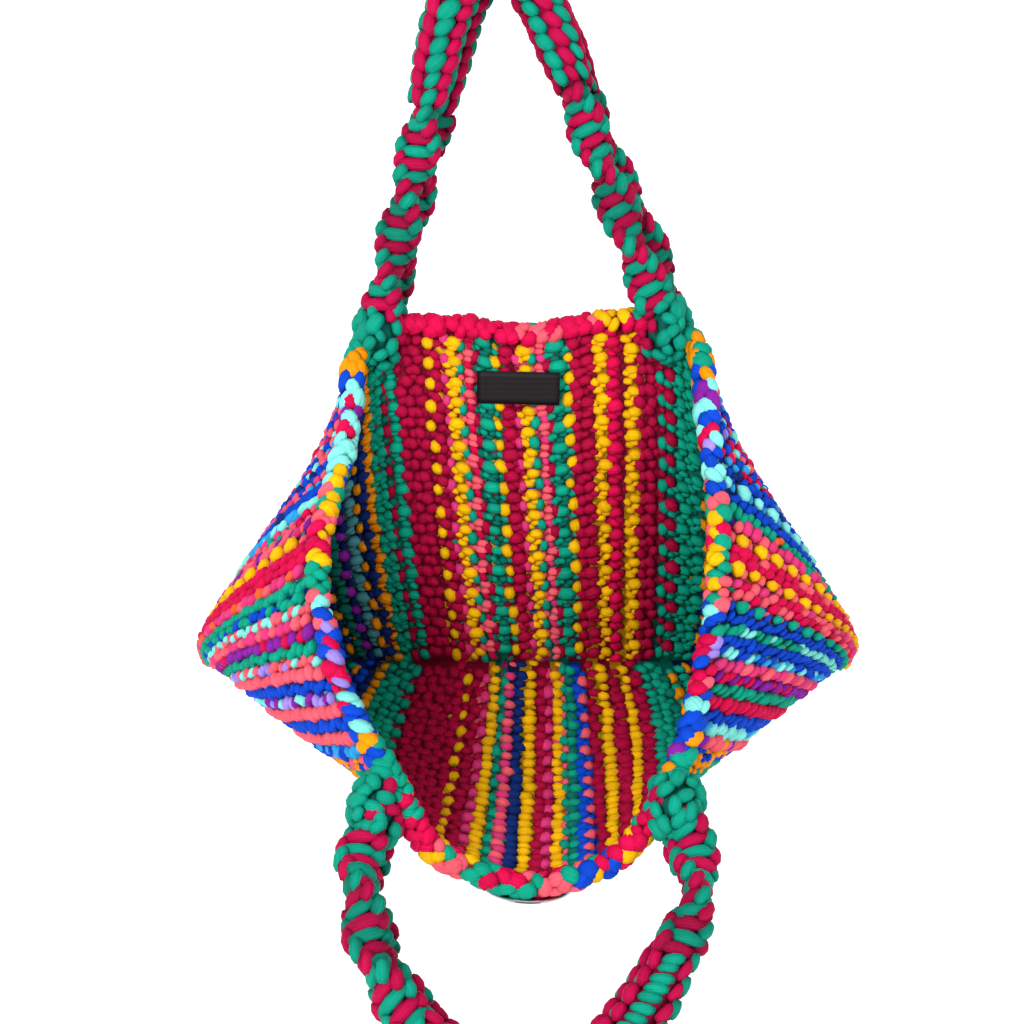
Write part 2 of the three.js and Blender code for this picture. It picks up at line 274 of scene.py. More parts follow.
def tube_faces(count, sides, closed):
    """Four-sided faces between the rings of a tube, and from the last to the first if closed."""
    number = np.arange(count * sides).reshape(count, sides)
    ahead = np.roll(number, -1, axis=0)
    faces = np.stack([number, ahead, np.roll(ahead, -1, axis=1), np.roll(number, -1, axis=1)],
                     axis=-1)
    return faces[:count if closed else -1].reshape(-1, 4)


class Cloth:
    """The chart of the bag's cloth. Every line down the bag is the parabola through its rim, middle
    and bottom points, spaced evenly over its real length; from line to line those points follow a
    closed cubic curve whose slopes come from both neighbours. The third number runs along the
    direction square to the surface, from 0 on the inner face to CLOTH on the outer one."""

    # The spacing of the grid of known points, its first depth above the rim, its last below the
    # seam, and the number of straight pieces that measure a line down.
    STEP = 2.0
    TOP = -24.0
    LOW = 252.0
    PIECES = 96

    def __init__(self):
        count = int(GIRTH / self.STEP)
        down = np.arange(self.TOP, self.LOW + 0.1, self.STEP)
        inner = self.lines_down(self.points_round(np.arange(count) * self.STEP), down)
        first = int(-self.TOP / self.STEP)
        last = first + int(DEPTH / self.STEP)
        # The direction round the bag is taken over 12 steps, and next to the seam 8 steps above it,
        # because both panels close to one line there. The direction down is taken over 4 steps.
        level = np.clip(np.arange(len(down)), first, last - 8)
        wide = inner[:, level]
        round_way = np.roll(wide, -6, axis=0) - np.roll(wide, 6, axis=0)
        row = np.clip(np.arange(len(down)), first, last)
        fall = inner[:, np.minimum(row + 2, last)] - inner[:, np.maximum(row - 2, first)]
        normal = unit(np.cross(fall, round_way))
        # At the seam each line turns to the direction that it shares with the one facing it, and
        # that direction grows by 1 / cos of the turn, up to 1 / 0.8, to keep the thickness.
        partner = (count // 2 - np.arange(count)) % count
        bottom = normal[:, last:last + 1]
        seam = unit(bottom + bottom[partner])
        stretch = 1 / np.maximum(0.8, (seam * bottom).sum(-1, keepdims=True))
        share = smooth((down - DEPTH + SEAM_BLEND) / SEAM_BLEND)[None, :, None]
        normal = unit(normal * (1 - share) + seam * share) * (1 + (stretch - 1) * share)
        self.grid = np.concatenate([inner - APEX, normal], axis=2)

    @staticmethod
    def points_round(places):
        """Rim, middle and bottom points at each place round the bag, on cubic pieces between the
        listed lines. The slope at a line is the mean of the rises on both sides, each weighed by
        the gap on the other side."""
        along = np.concatenate([LINES[:, 0], [GIRTH]])
        values = LINES[:, 1:]
        before = along[1:] - along[:-1]
        rise = (np.roll(values, -1, axis=0) - values) / before[:, None]
        span = np.roll(before, 1)
        slope = np.roll(rise, 1, axis=0) * before[:, None] + rise * span[:, None]
        slope = slope / (before + span)[:, None]
        k = np.searchsorted(along, places, side="right") - 1
        u = ((places - along[k]) / before[k])[:, None]
        after = (k + 1) % len(LINES)
        size = before[k][:, None]
        a, b, c, d = cubic_weights(u)
        return (a * values[k] + b * size * slope[k]
                + c * values[after] + d * size * slope[after])

    @staticmethod
    def lines_down(keys, down):
        """Points at every depth of every line, evenly spaced over the line's real length. Above the
        rim and below the seam the line runs straight on."""
        rim, middle, bottom = keys[:, None, 0:3], keys[:, None, 3:6], keys[:, None, 6:9]
        u = np.linspace(0, 1, Cloth.PIECES + 1)[None, :, None]
        curve = rim * (1 - u) * (1 - 2 * u) + 4 * middle * u * (1 - u) + bottom * u * (2 * u - 1)
        piece = np.linalg.norm(np.diff(curve, axis=1), axis=2)
        length = np.concatenate([np.zeros((len(keys), 1)), np.cumsum(piece, axis=1)], axis=1)
        want = np.clip(down, 0, DEPTH)[None, :] / DEPTH * length[:, -1:]
        k = (length[:, None, :] <= want[:, :, None]).sum(2) - 1
        k = np.clip(k, 0, Cloth.PIECES - 1)
        rows = np.arange(len(keys))[:, None]
        part = ((want - length[rows, k]) / piece[rows, k])[:, :, None]
        points = curve[rows, k] * (1 - part) + curve[rows, k + 1] * part
        scale = (length[:, -1:] / DEPTH)[:, :, None]
        above = unit(curve[:, 1:2] - curve[:, 0:1]) * np.minimum(down, 0)[None, :, None] * scale
        below = unit(curve[:, -1:] - curve[:, -2:-1])
        return points + above + below * np.maximum(down - DEPTH, 0)[None, :, None] * scale

    def place(self, points):
        """Chart numbers (round, down, out) to millimetres, blended straight between grid points."""
        across = points[..., 0] / self.STEP
        depth = (points[..., 1] - self.TOP) / self.STEP
        i = np.floor(across).astype(int)
        j = np.clip(np.floor(depth).astype(int), 0, self.grid.shape[1] - 2)
        a = (across - i)[..., None]
        b = (depth - j)[..., None]
        i, after = i % len(self.grid), (i + 1) % len(self.grid)
        upper = self.grid[i, j] * (1 - a) + self.grid[after, j] * a
        lower = self.grid[i, j + 1] * (1 - a) + self.grid[after, j + 1] * a
        found = upper * (1 - b) + lower * b
        return found[..., :3] + found[..., 3:] * points[..., 2:3]


class Rope:
    """The chart of one rope: the way along it, then to the side and to the front, in millimetres.
    The centre line is the centripetal curve through its listed points: cubic pieces whose slopes
    weigh each gap by the square root of its length."""

    # Straight pieces of the curve between two listed points.
    PIECES = 24

    def __init__(self, listed, front):
        points = np.array(listed, float) - APEX
        ends = [2 * points[0] - points[1], 2 * points[-1] - points[-2]]
        points = np.vstack([ends[0], points, ends[1]])
        gaps = np.sqrt(np.linalg.norm(np.diff(points, axis=0), axis=1))
        p0, p1, p2, p3 = points[:-3], points[1:-2], points[2:-1], points[3:]
        d0, d1, d2 = (gaps[k:k + len(p0), None] for k in range(3))
        start = ((p1 - p0) / d0 - (p2 - p0) / (d0 + d1) + (p2 - p1) / d1) * d1
        end = ((p2 - p1) / d1 - (p3 - p1) / (d1 + d2) + (p3 - p2) / d2) * d1
        u = np.linspace(0, 1, self.PIECES, endpoint=False)[None, :, None]
        a, b, c, d = cubic_weights(u)
        curve = a * p1[:, None] + b * start[:, None] + c * p2[:, None] + d * end[:, None]
        curve = np.vstack([curve.reshape(-1, 3), p2[-1:]])
        way = np.concatenate([[0], np.cumsum(np.linalg.norm(np.diff(curve, axis=0), axis=1))])
        self.length = way[-1]
        self.stations = np.linspace(0, self.length, int(self.length) + 1)
        self.line = np.stack([np.interp(self.stations, way, curve[:, k]) for k in range(3)], axis=1)
        along = unit(np.gradient(self.line, axis=0))
        ahead = np.array(front, float)
        ahead = unit(ahead - along * (along @ ahead)[:, None])
        self.frames = np.concatenate([self.line, along, np.cross(along, ahead), ahead], axis=1)

    def place(self, points):
        """Chart numbers (along, side, front) to millimetres. Past an end it runs straight on."""
        along = points[..., 0]
        inside = np.clip(along, 0, self.length)
        found = np.stack([np.interp(inside, self.stations, self.frames[:, k]) for k in range(12)],
                         axis=-1)
        return (found[..., 0:3] + found[..., 3:6] * (along - inside)[..., None]
                + found[..., 6:9] * points[..., 1:2] + found[..., 9:12] * points[..., 2:3])


cloth = Cloth()


# ==== lobes of yarn ====
# Rings along a lobe and points round each ring.
STITCH_MESH = (4, 7)
RIM_MESH = (6, 10)
ROPE_MESH = (5, 8)
# Powers that give a lobe round ends or more pointed ones.
ROUND, POINTED_END = 0.5, 0.8
# Painted shade: the brightness where yarn dives under its neighbours, how much it rises on a lobe,
# and how much it falls as painted shade on its underside; the random range of whole lobes; and the
# painted shade of the cores and the ground.
PAINTED_SHADE_DEEP, PAINTED_SHADE_RISE, PAINTED_SHADE_UNDERSIDE = 0.15, 0.85, 0.35
LOBE_SHADES = (0.88, 1.08)
CORE_PAINTED_SHADE = 0.35
# In centimetres of the pattern of creases: a lobe's length, and how far apart lobes may start.
LOBE_LAY = 0.5
LAY_RANGE = 40


def ring_turns(rings):
    """The angle f of every ring of a lobe, pi k / (rings + 1), where 0 is its start and pi its
    end."""
    return np.pi * np.arange(1, rings + 1) / (rings + 1)


def lobe_points(start, bend, end, wide, thick, up, rings, sides, power=ROUND):
    """Closed plump lobes. The middle line is the curve (1-u)^2 start + 2u(1-u) bend + u^2 end, with
    u = (1 - cos f) / 2. Round it stands an ellipse of half sizes wide and thick, times the sine of
    f to the given power, and each end closes in one point."""
    turn = ring_turns(rings)
    u = ((1 - np.cos(turn)) / 2)[None, :, None]
    size = (np.sin(turn) ** power)[None, :, None, None]
    a, b, c = start[:, None], bend[:, None], end[:, None]
    middle = a * (1 - u) ** 2 + 2 * b * u * (1 - u) + c * u**2
    way = unit(2 * (b - a) * (1 - u) + 2 * (c - b) * u)
    across = unit(np.cross(way, np.broadcast_to(up[:, None], way.shape)))
    outward = np.cross(across, way)
    angle = circle(sides)
    cos, sin = (turned[None, None, :, None] for turned in (np.cos(angle), np.sin(angle)))
    ring = (cos * across[:, :, None] * wide[:, None, None, None]
            + sin * outward[:, :, None] * thick[:, None, None, None])
    shell = (middle[:, :, None] + ring * size).reshape(len(start), -1, 3)
    return np.concatenate([start[:, None], shell, end[:, None]], axis=1)


def lobe_marks(rings, sides):
    """Two values for each point of a lobe. lay is the way along it and the cosine and sine of the
    way round it, for the creases of the yarn. shade is its brightness, painted shade where the yarn
    dives between its neighbours: PAINTED_SHADE_DEEP in the end points, and elsewhere
    PAINTED_SHADE_DEEP + PAINTED_SHADE_RISE times the root of the sine of f, less
    PAINTED_SHADE_UNDERSIDE times the part turned downwards, a painted shade on its underside."""
    turn, angle = ring_turns(rings), circle(sides)
    along = np.repeat((1 - np.cos(turn)) / 2, sides) * LOBE_LAY
    rows = np.stack([along, np.tile(np.cos(angle), rings), np.tile(np.sin(angle), rings)], axis=1)
    lay = np.vstack([[0, 0, 0], rows, [LOBE_LAY, 0, 0]])
    rise = np.repeat(PAINTED_SHADE_DEEP + PAINTED_SHADE_RISE * np.sqrt(np.sin(turn)), sides)
    under = np.tile(np.clip(-np.sin(angle), 0, 1), rings)
    return lay, np.concatenate([[PAINTED_SHADE_DEEP], rise - PAINTED_SHADE_UNDERSIDE * under, [PAINTED_SHADE_DEEP]])


def lobe_faces(rings, sides):
    """Four-sided faces between the rings, and three-sided ones from each end point to its ring."""
    j = np.arange(sides)
    turn = (j + 1) % sides
    first = 1 + np.arange(rings - 1)[:, None] * sides
    quads = np.stack([first + j, first + sides + j, first + sides + turn, first + turn], axis=2)
    last = 1 + (rings - 1) * sides
    caps = np.vstack([np.stack([0 * j, 1 + j, 1 + turn], axis=1),
                      np.stack([0 * j + last + sides, last + turn, last + j], axis=1)])
    return quads.reshape(-1, 4), caps


class Knots:
    """Gathers lobes of yarn for one piece, and makes them one mesh."""

    def __init__(self):
        self.points, self.quads, self.caps, self.lay, self.shade = [], [], [], [], []
        self.quad_yarn, self.cap_yarn = [], []
        self.count = 0

    def add(self, points, yarns, rings, sides):
        """points: one block for each lobe, already in place; yarns: the colour number of each.
        Every lobe starts elsewhere in the pattern of creases and has a brightness of its own."""
        number, size = points.shape[:2]
        quads, caps = lobe_faces(rings, sides)
        if self.volume(points[0], quads) < 0:
            quads, caps = quads[:, ::-1], caps[:, ::-1]
        shift = self.count + np.arange(number)[:, None, None] * size
        self.points.append(points.reshape(-1, 3))
        self.quads.append((quads[None] + shift).reshape(-1, 4))
        self.caps.append((caps[None] + shift).reshape(-1, 3))
        self.quad_yarn.append(np.repeat(yarns, len(quads)))
        self.cap_yarn.append(np.repeat(yarns, len(caps)))
        # Painted shade: each lobe gets the brightness of lobe_marks, dark at its ends and
        # underside, times its own random tone.
        lay, shade = lobe_marks(rings, sides)
        start = random.uniform(0, LAY_RANGE, (number, 1, 3))
        self.lay.append((lay[None] + start).reshape(-1, 3))
        light = random.uniform(*LOBE_SHADES, number)
        self.shade.append(np.outer(light, shade).ravel())
        self.count += number * size

    @staticmethod
    def volume(points, quads):
        """Six times the volume inside the four-sided faces, positive where they point outwards."""
        a, b, c, d = (points[quads[:, k]] - points.mean(axis=0) for k in range(4))
        return (np.cross(a, b) * c).sum() + (np.cross(a, c) * d).sum()

    def shell(self, points, quads, yarns):
        """Adds a plain closed body of four-sided faces, such as the core of a rope. Its creases
        follow its points, in centimetres, and it is painted dark all over at CORE_PAINTED_SHADE:
        painted shade, for cores and grounds seen between lobes."""
        if self.volume(points, quads) < 0:
            quads = quads[:, ::-1]
        self.points.append(points)
        self.quads.append(quads + self.count)
        self.quad_yarn.append(yarns)
        self.lay.append(points * 0.1)
        self.shade.append(np.full(len(points), CORE_PAINTED_SHADE))
        self.count += len(points)

    def piece(self, name, materials):
        """The gathered lobes as one object, in metres."""
        caps = np.vstack(self.caps) if self.caps else np.zeros((0, 3), int)
        made = solid(name, np.vstack(self.points), np.vstack(self.quads), caps)
        mesh = made.data
        for material in materials:
            mesh.materials.append(material)
        numbers = np.concatenate(self.quad_yarn + self.cap_yarn)
        mesh.polygons.foreach_set("material_index", numbers.astype(np.int32))
        lay = mesh.attributes.new("lay", "FLOAT_VECTOR", "POINT")
        lay.data.foreach_set("vector", np.vstack(self.lay).astype(np.float32).ravel())
        # The brightness attribute: painted shade, times each lobe's random tone.
        shade = mesh.attributes.new("shade", "FLOAT", "POINT")
        shade.data.foreach_set("value", np.concatenate(self.shade).astype(np.float32))
        return made


def solid(name, points, quads, caps):
    """An object at the origin whose mesh holds these points, given in millimetres."""
    mesh = bpy.data.meshes.new(name)
    mesh.vertices.add(len(points))
    mesh.vertices.foreach_set("co", (points * MM).astype(np.float32).ravel())
    mesh.loops.add(quads.size + caps.size)
    corners = np.concatenate([quads.ravel(), caps.ravel()])
    mesh.loops.foreach_set("vertex_index", corners.astype(np.int32))
    mesh.polygons.add(len(quads) + len(caps))
    starts = np.concatenate([np.arange(len(quads)) * 4, quads.size + np.arange(len(caps)) * 3])
    mesh.polygons.foreach_set("loop_start", starts.astype(np.int32))
    mesh.polygons.foreach_set("use_smooth", np.ones(len(starts), bool))
    mesh.update(calc_edges=True)
    mesh.validate()
    made = bpy.data.objects.new(name, mesh)
    bpy.context.scene.collection.objects.link(made)
    return made


# ==== stitches of the cloth ====
# Each cell is one repeat of a column, as its width and its lobes. A lobe is its centre to the right
# and down, its half length, the angle of its length in degrees, its half width and half thickness,
# how far its middle bows sideways, and which of the column's colours it has.
CELLS = {
    "wave": (7.8, [
        (0.5, -3.5, 3.9, 10, 3.7, 3.5, 0.8, 0),
        (-0.8, 1.9, 3.2, -18, 2.1, 2.5, 0.0, 0),
        (0.5, 5.2, 3.0, 16, 2.2, 2.6, 0.0, 0),
    ]),
    "broad": (10.2, [
        (1.2, -3.7, 4.2, 8, 3.6, 3.6, 0.8, 0),
        (-3.0, -1.0, 2.5, 42, 2.3, 2.8, 0.0, 0),
        (1.5, 2.0, 3.3, -10, 2.1, 2.6, 0.0, 0),
        (-1.6, 4.9, 3.2, 16, 2.4, 2.9, 0.0, 0),
    ]),
    "oval": (5.6, [
        (0.1, 1.9, 4.0, 86, 2.9, 3.4, 0.5, 0),
        (-0.1, -5.4, 2.5, 72, 2.2, 2.3, 0.0, 1),
    ]),
    "pair": (8.0, [
        (0.6, -4.6, 3.5, 8, 2.7, 3.3, 0.6, 0),
        (0.0, 0.2, 3.2, -8, 2.3, 3.0, 0.0, 0),
        (0.6, 4.9, 3.0, 58, 2.3, 2.6, 0.0, 1),
    ]),
    "double": (9.6, [
        (0.0, -3.5, 4.9, 3, 4.1, 3.8, 0.8, 0),
        (-2.7, 2.9, 2.4, 34, 2.1, 2.5, 0.0, 0),
        (2.5, 3.2, 2.4, -28, 2.1, 2.5, 0.0, 1),
        (0.1, 5.9, 2.8, 4, 1.9, 2.5, 0.0, 1),
    ]),
    "teeth": (6.8, [
        (0.2, -2.1, 3.9, 86, 3.5, 3.7, -1.5, 0),
        (0.4, 4.9, 2.6, 14, 2.2, 2.3, 0.0, 1),
    ]),
    "lobes": (9.6, [
        (-0.6, -3.4, 4.5, -14, 4.0, 3.8, 0.8, 0),
        (2.1, 2.4, 2.9, 26, 2.2, 2.8, 0.0, 1),
        (-1.5, 4.5, 3.7, 8, 2.6, 3.0, 0.0, 0),
    ]),
    "packed": (6.8, [
        (-0.8, -3.8, 4.0, 50, 3.5, 3.4, 0.6, 0),
        (0.8, 3.7, 3.8, 122, 3.3, 3.0, -0.6, 1),
    ]),
    "leaf": (7.4, [
        (-0.3, -3.8, 3.9, 18, 3.2, 3.4, 1.9, 0),
        (0.3, 3.7, 3.9, 14, 3.2, 3.4, 1.9, 1),
    ]),
    "chain": (8.1, [
        (-1.1, -5.1, 4.8, 44, 2.5, 3.5, 1.2, 0),
        (1.1, -0.1, 5.0, 48, 2.5, 3.5, 1.2, 1),
        (0.0, 5.0, 4.8, 40, 2.5, 3.5, 1.2, 2),
    ]),
    "braid": (8.1, [
        (-0.4, -3.8, 5.3, 42, 3.5, 4.1, 1.4, 0),
        (0.4, 3.7, 5.3, 46, 3.5, 4.1, 1.4, 1),
    ]),
    "balls": (8.1, [
        (-2.0, -5.4, 2.4, 44, 2.6, 3.1, 0.3, 0),
        (2.1, -1.7, 2.4, -36, 2.6, 3.1, 0.3, 1),
        (-1.9, 2.0, 2.4, 60, 2.6, 3.1, 0.3, 2),
        (2.0, 5.8, 2.4, 24, 2.6, 3.1, 0.3, 3),
    ]),
    "bump": (8.1, [
        (0.0, -3.1, 3.4, 42, 4.4, 4.8, 0.6, 0),
        (-0.9, 4.0, 3.2, 24, 2.6, 3.1, 0.3, 1),
        (1.9, 2.6, 2.4, 60, 2.1, 2.8, 0.0, 2),
    ]),
}
# Cells whose lobes each draw a colour at random, and cells whose lobes have pointed ends.
MIXED = ("chain", "braid", "balls")
POINTED = ("chain", "braid", "leaf")
# How far below its half thickness the bend of a lobe lies, so that it sinks into the ground.
SUNK = 1.9
# Spreads of the random changes of a lobe: its size, its turn in degrees, and its place in
# millimetres to the right, down and out.
SIZE_SPREAD, TURN_SPREAD, PLACE_SPREAD = 0.09, 11.0, (0.5, 0.4, 0.35)
# The depth about which the columns lean.
LEAN_LEVEL = 105.0
# The heights in the cloth on which the stitches of the inner and the outer face stand.
INNER_LEVEL = 3.6
OUTER_LEVEL = 5.6
# The strips without stitches: under the rim, where the edging lies, and at the seam.
BARE_TOP = 6.0
BARE_END = 1.0
# Outside, a column is wider than its share by this factor, because neighbours press together.
PRESS = 1.06


def stitch_levels(first, last, near, far):
    """Middles of the repeats down a column and the length of each, which grows evenly from near to
    far: middle = first + near k + (far - near) k^2 / 2n."""
    number = (last - first) / ((near + far) / 2)
    k = np.arange(int(np.ceil(number)) + 1) - 0.5
    return first + near * k + (far - near) * k**2 / (2 * number), near + (far - near) * k / number


def column(knots, place, width, kind, colours, side, span, lean):
    """One column of stitches down the cloth. Every lobe of every repeat is moved, turned and sized
    a little at random, then laid on the chart: side is -1 on the inner face and 1 on the outer one.
    The column leans by `lean` millimetres for each one down."""
    usual, rows = CELLS[kind]
    right, down, reach, turn, wide, thick, bow, choice = np.array(rows, float).T
    middles, lengths = stitch_levels(*span)
    middles = middles + lengths * random.uniform(-0.5, 0.5)
    shape = (len(middles), len(rows))
    scale, stretch = width / usual, (lengths / REPEAT)[:, None]
    size = random.normal(1.0, SIZE_SPREAD, shape)
    angle = np.radians(turn + random.normal(0, TURN_SPREAD, shape))
    moved = [random.normal(0, spread, shape) for spread in PLACE_SPREAD]
    centre = np.stack([
        (right + moved[0]) * scale,
        down * stretch + moved[1] + middles[:, None],
        moved[2],
    ], axis=-1)
    arm = np.stack([np.cos(angle) * scale, np.sin(angle) * stretch, 0 * angle], axis=-1)
    arm = arm * (reach * size)[..., None]
    rise = np.stack([-np.sin(angle) * bow, np.cos(angle) * bow, thick - SUNK + 0 * angle], axis=-1)
    parts = [(centre - arm).reshape(-1, 3), (centre + rise).reshape(-1, 3),
             (centre + arm).reshape(-1, 3), (wide * size).ravel(), (thick * size).ravel()]
    local = lobe_points(*parts, UP, *STITCH_MESH, POINTED_END if kind in POINTED else ROUND)
    across = place + lean * (local[..., 1] - LEAN_LEVEL) + side * local[..., 0]
    height = INNER_LEVEL if side < 0 else OUTER_LEVEL
    points = np.stack([across, local[..., 1], height + side * local[..., 2]], axis=-1)
    numbers = np.array([YARN_NUMBER[name] for name in colours])
    picked = choice.astype(int) % len(colours) + np.zeros(shape, int)
    if kind in MIXED:
        picked = random.integers(0, len(colours), shape)
    inside = (centre[..., 1].ravel() > span[0]) & (centre[..., 1].ravel() < span[1])
    knots.add(cloth.place(points[inside]), numbers[picked].ravel()[inside], *STITCH_MESH)


def lay_columns(knots, rows, side, near, far, lean):
    """Lays columns side by side. rows holds (place round the bag, cell, colours). Inside, a column
    has its cell's own width; outside it is as wide as the halves of the gaps to its neighbours."""
    places = np.array([row[0] for row in rows], float)
    middles = (places[1:] + places[:-1]) / 2
    edges = np.concatenate([[2 * places[0] - middles[0]], middles, [2 * places[-1] - middles[-1]]])
    span = (BARE_TOP, DEPTH - BARE_END, near, far)
    for k, (place, kind, colours) in enumerate(rows):
        width = CELLS[kind][0] if side < 0 else (edges[k + 1] - edges[k]) * PRESS
        column(knots, place, width, kind, colours, side, span, lean)


def listed_columns(step, text):
    """Rows of (place round the bag, cell, colours) from a list with commas. An entry that gives no
    place lies one step after the one before it."""
    rows = []
    for entry in text.split(","):
        words = entry.split()
        place = rows[-1][0] + step if words[0] in CELLS else float(words.pop(0))
        rows.append((place, words[0], tuple(words[1:])))
    return rows


BACK_INSIDE = listed_columns(6, """
    -232 packed navy, wave pine, oval coral navy, wave royal, wave teal, oval amber royal,
    wave navy, packed purple, wave mint, oval amber navy, wave navy, wave pine, oval amber navy,
    wave royal, packed purple, wave mint, oval coral navy, wave navy, oval amber navy, wave royal,
    -111 oval amber pine, -104.5 broad teal, -96.5 broad teal, -90 bump wine teal pine,
    -83.5 teeth teal wine, -76.8 packed wine, -70.9 packed wine, broad yellow,
    -54.2 lobes crimson wine, -46.2 broad yellow, -38.8 lobes wine, -32.4 packed wine,
    -27.1 teeth yellow teal, -21.6 double teal pine, -16.6 oval wine teal, -12.6 pair coral rose,
    -7.8 oval teal coral, -3.2 broad yellow, 1.4 oval rose wine, 7.2 lobes wine,
    14.6 teeth yellow teal, 20.8 double teal pine, 26 oval wine pine, 30.2 pair coral crimson,
    34.8 oval teal coral, 39.7 broad yellow, 44.8 oval rose wine, 49.3 packed wine,
    54.6 teeth yellow wine, 60.5 packed wine, 65.8 packed wine, 71 packed wine, 76.8 wave teal,
    82.4 oval wine pine, 87 wave teal, 91.4 wave teal, 96 wave amber, 100.5 wave navy,
    105 oval amber navy, 110 wave slate, packed purple navy, wave pine, oval amber navy, wave royal,
    wave teal, oval coral navy, wave navy, packed purple, wave mint, oval amber navy, wave navy,
    wave pine, oval coral royal, wave royal, packed purple, wave teal, oval amber navy, wave navy,
    wave mint, packed navy
""")
FRONT_INSIDE = listed_columns(6, """
    238 packed navy, leaf mint, oval amber navy, leaf navy, leaf pine, oval coral navy, leaf royal,
    packed purple, leaf teal, oval amber royal, leaf navy, leaf mint, oval coral navy, leaf royal,
    packed purple, leaf pine, oval amber navy, leaf navy, leaf teal, oval amber royal, leaf royal,
    leaf navy, leaf amber, leaf teal, leaf teal, leaf teal, teeth teal wine, packed wine,
    packed wine, packed wine, packed wine, packed wine, teeth yellow wine, 435.5 packed wine,
    442 teeth rose wine, 446.5 leaf yellow, 452.3 oval teal pine, 456.8 leaf coral rose, leaf navy,
    469.8 leaf yellow, 476.6 leaf wine, 482 teeth rose wine, 486.6 leaf yellow,
    490.6 oval teal coral, 494.6 leaf teal pine, 499.3 leaf royal, 503.5 teeth coral royal,
    509 packed wine, 516 leaf yellow, 523.5 lobes wine, 531 leaf yellow, 538 lobes wine,
    545 leaf teal, leaf teal, packed pine teal, 563.5 teeth amber teal, 570 leaf teal,
    oval amber navy, leaf navy, leaf royal, oval amber navy, leaf mint, packed purple, leaf pine,
    oval coral navy, leaf navy, leaf teal, oval amber royal, leaf royal, packed purple, leaf mint,
    oval amber navy, leaf navy, leaf pine, oval coral navy, leaf royal, leaf teal, oval amber navy,
    packed navy
""")
# The outside, round the bag from the left end of the back.
OUTSIDE = listed_columns(8, """
    98 balls teal, balls teal amber royal, balls royal amber coral, balls royal sky mint,
    balls mint royal coral, balls purple coral royal, balls coral crimson royal mint,
    balls royal coral sky, balls coral mint crimson royal, balls royal navy royal,
    balls coral sky rose royal, chain royal royal navy, chain mint mint sky,
    balls coral teal crimson rose, chain rose coral purple, 218.5 bump yellow coral rose,
    braid crimson, 233 braid crimson, 240.5 braid coral orange rose, 249 chain teal,
    chain teal teal royal, chain mint coral mint, braid coral rose, braid crimson purple purple,
    chain teal, chain mint lavender coral, braid coral, chain royal, chain lavender purple mint,
    braid coral, chain royal, braid coral, chain sky royal, balls amber royal coral,
    balls teal amber, balls teal, balls teal teal crimson, braid wine, braid crimson, braid wine,
    braid crimson, bump yellow wine, braid wine, braid coral rose, bump yellow teal, chain teal,
    chain royal navy, bump yellow coral, braid wine, braid coral, chain teal, chain royal,
    bump yellow wine, braid crimson, braid wine, braid crimson, braid wine, balls teal crimson,
    560 balls teal, 567 balls teal, balls teal amber, balls royal amber,
    590 braid coral purple amber, 597 chain mint sky mint, 604 chain royal, braid crimson,
    chain teal, chain purple crimson purple, braid coral rose, chain sky royal mint, chain royal,
    chain mint mint teal, chain royal, bump teal royal coral, 684.5 braid crimson coral crimson,
    braid coral crimson rose, 701 bump yellow coral orange, 708 braid crimson,
    713.5 braid crimson crimson coral, 720.5 bump yellow coral orange, 729 braid coral teal rose,
    chain teal orange teal, 744.5 chain royal, 752 bump mint sky royal, chain royal navy royal,
    balls sky crimson royal, balls coral royal mint, balls crimson lavender royal,
    balls royal mint coral, balls mint purple royal, balls royal coral sky, balls royal navy teal,
    balls amber royal, balls amber teal, balls teal, balls teal, braid wine, braid crimson,
    bump yellow wine, braid wine, braid crimson, bump yellow crimson, braid wine, braid coral rose,
    chain teal, bump yellow coral, chain royal teal, braid coral crimson, braid wine,
    bump yellow wine, chain teal, braid coral crimson, chain teal, bump yellow wine, braid wine,
    braid crimson, braid wine, 1023 braid crimson, braid wine
""")


def colour_at(rows, places):
    """The colour of the column nearest to each place."""
    known = np.array([row[0] for row in rows], float)
    numbers = np.array([YARN_NUMBER[row[2][-1]] for row in rows])
    return numbers[np.abs(places[:, None] - known[None]).argmin(axis=1)]


def slab(columns, rows, place):
    """A closed sheet between two grids of points: place(u, v, side) with side 0 and 1."""
    u, v = np.meshgrid(np.linspace(0, 1, columns + 1), np.linspace(0, 1, rows + 1), indexing="ij")
    points = np.concatenate([place(u, v, side).reshape(-1, 3) for side in (0, 1)])
    number = np.arange(u.size).reshape(u.shape)
    a, b, c, d = number[:-1, :-1], number[1:, :-1], number[1:, 1:], number[:-1, 1:]
    face = np.stack([a, b, c, d], axis=-1).reshape(-1, 4)
    rim = np.concatenate([number[0, ::-1], number[1:, 0], number[-1, 1:], number[-2:0:-1, -1]])
    after = np.roll(rim, -1)
    edge = np.stack([rim, after, after + u.size, rim + u.size], axis=1)
    return points, np.vstack([face[:, ::-1], face + u.size, edge])


# The ground under the stitches: its columns and rows of faces, the gaps that it leaves at the rim
# and at each fold, the heights of its faces in the cloth, and how far each swells at the seam.
GROUND_FACES = (116, 30)
GROUND_TOP, GROUND_GAP = 2.0, 0.1
GROUND_HEIGHTS = (3.6, 5.4)
GROUND_SWELL = 2.4


